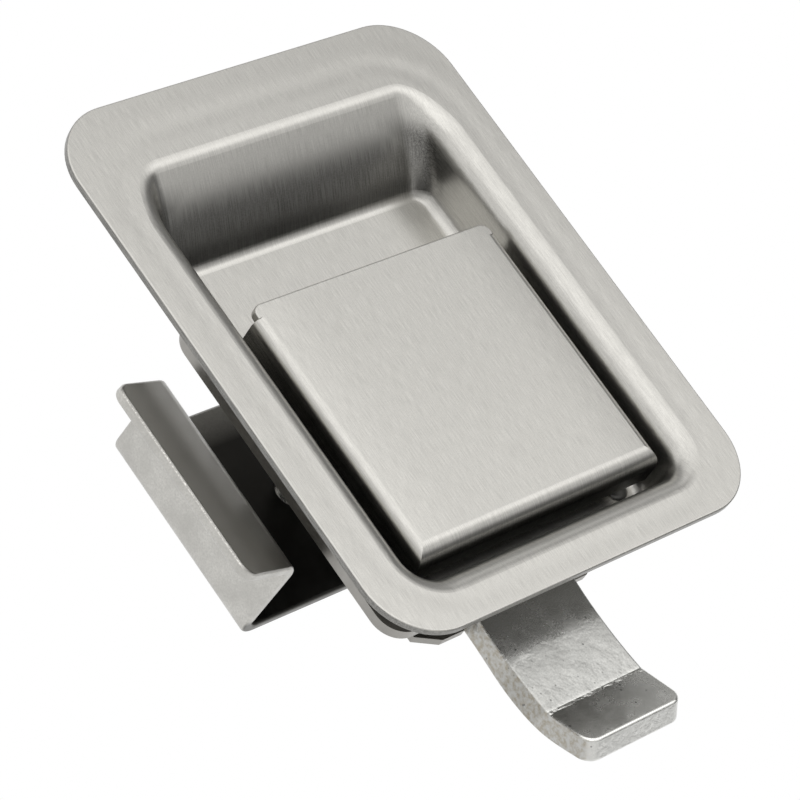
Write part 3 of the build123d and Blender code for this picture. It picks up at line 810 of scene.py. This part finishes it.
def studio_radiance(tree, stage):
    """Radiance by direction: a panel overhead with a brighter band, walls on three sides, dim corners."""
    coordinates = node(tree, "ShaderNodeTexCoord")
    parts = node(tree, "ShaderNodeSeparateXYZ")
    tree.links.new(coordinates.outputs["Generated"], parts.inputs["Vector"])
    x, y, z = (parts.outputs[name] for name in "XYZ")
    height = highest(tree, z, 0.02)
    across = math_node(tree, "DIVIDE", x, height)
    along = math_node(tree, "DIVIDE", y, height)
    slanted = total(tree, along, product(tree, across, 0.5))
    band_light = stage.panel_light * stage.band_gain
    level = remap(tree, along, 0.36, 0.08, stage.panel_light, band_light, smooth=True)
    fall = remap(tree, along, -0.12, -0.42, 1.0, stage.front_fall, smooth=True)
    panel = product(tree, level, fall)
    # Where the panel fades at its edges, as (place, start, end, share at start, share at end).
    edges = ((across, 1.0, 0.75, 1.0, 1.08), (across, 2.0, 1.3, 0.0, 1.0), (across, -1.4, -0.7, 0.0, 1.0),
             (slanted, 1.13, 1.0, 0.0, 1.0), (along, -1.5, -1.05, 0.0, 1.0))
    for place, start, end, first, last in edges:
        panel = product(tree, panel, remap(tree, place, start, end, first, last, smooth=True))
    left = remap(tree, x, 0.05, -0.45, 0.0, stage.wall_light, smooth=True)
    front = product(tree, remap(tree, y, -0.45, -0.75, 0.0, stage.wall_light, smooth=True),
                    remap(tree, x, 0.45, 0.15, smooth=True))
    rear = product(tree, remap(tree, y, 0.50, 0.64, 0.0, 0.8 * stage.wall_light, smooth=True),
                   remap(tree, z, 0.28, 0.42, smooth=True))
    room = remap(tree, y, 0.15, 0.7, stage.room_light, stage.rear_light)
    lit = total(tree, highest(tree, panel, left, front, rear), room)
    below = remap(tree, z, 0.0, -0.04)
    return highest(tree, lit, below)


def add_world(context, stage):
    """Studio light from all round, white below the horizon and to the camera, as the floor is."""
    world = bpy.data.worlds.new("studio")
    world.use_nodes = True
    tree = world.node_tree
    studio = tree.nodes["Background"]
    studio.inputs["Color"].default_value = (1.0, 0.995, 0.985, 1.0)
    tree.links.new(studio_radiance(tree, stage), studio.inputs["Strength"])
    white = node(tree, "ShaderNodeBackground")
    white.inputs["Color"].default_value = (1.0, 1.0, 1.0, 1.0)
    path = node(tree, "ShaderNodeLightPath")
    blend = node(tree, "ShaderNodeMixShader")
    tree.links.new(path.outputs["Is Camera Ray"], blend.inputs["Fac"])
    tree.links.new(studio.outputs["Background"], blend.inputs[1])
    tree.links.new(white.outputs["Background"], blend.inputs[2])
    tree.links.new(blend.outputs["Shader"], tree.nodes["World Output"].inputs["Surface"])
    context.scene.world = world


class LATCH_PT_panel(bpy.types.Panel):
    """Sidebar panel with the latch's steps and values"""

    bl_idname = "LATCH_PT_panel"
    bl_label = "Compression Latch"
    bl_space_type = "VIEW_3D"
    bl_region_type = "UI"
    bl_category = "Latch"

    def draw(self, context):
        for step in STEPS:
            self.layout.operator(step.bl_idname)
        for values in (context.scene.latch_finish, context.scene.latch_stage):
            box = self.layout.box()
            for name in values.bl_rna.properties.keys():
                if name not in ("rna_type", "name"):
                    box.prop(values, name)


STEPS = (LATCH_OT_sheet, LATCH_OT_forgings, LATCH_OT_fasteners, LATCH_OT_pins, LATCH_OT_stage)
CLASSES = (LatchFinish, LatchStage, *STEPS, LATCH_PT_panel)


def register():
    for cls in CLASSES:
        bpy.utils.register_class(cls)
    bpy.types.Scene.latch_finish = bpy.props.PointerProperty(type=LatchFinish)
    bpy.types.Scene.latch_stage = bpy.props.PointerProperty(type=LatchStage)


def unregister():
    del bpy.types.Scene.latch_stage
    del bpy.types.Scene.latch_finish
    for cls in reversed(CLASSES):
        bpy.utils.unregister_class(cls)


def main():
    register()
    bpy.ops.latch.sheet()
    bpy.ops.latch.forgings()
    bpy.ops.latch.fasteners()
    bpy.ops.latch.pins()
    bpy.ops.latch.stage()


if __name__ == "__main__":
    main()
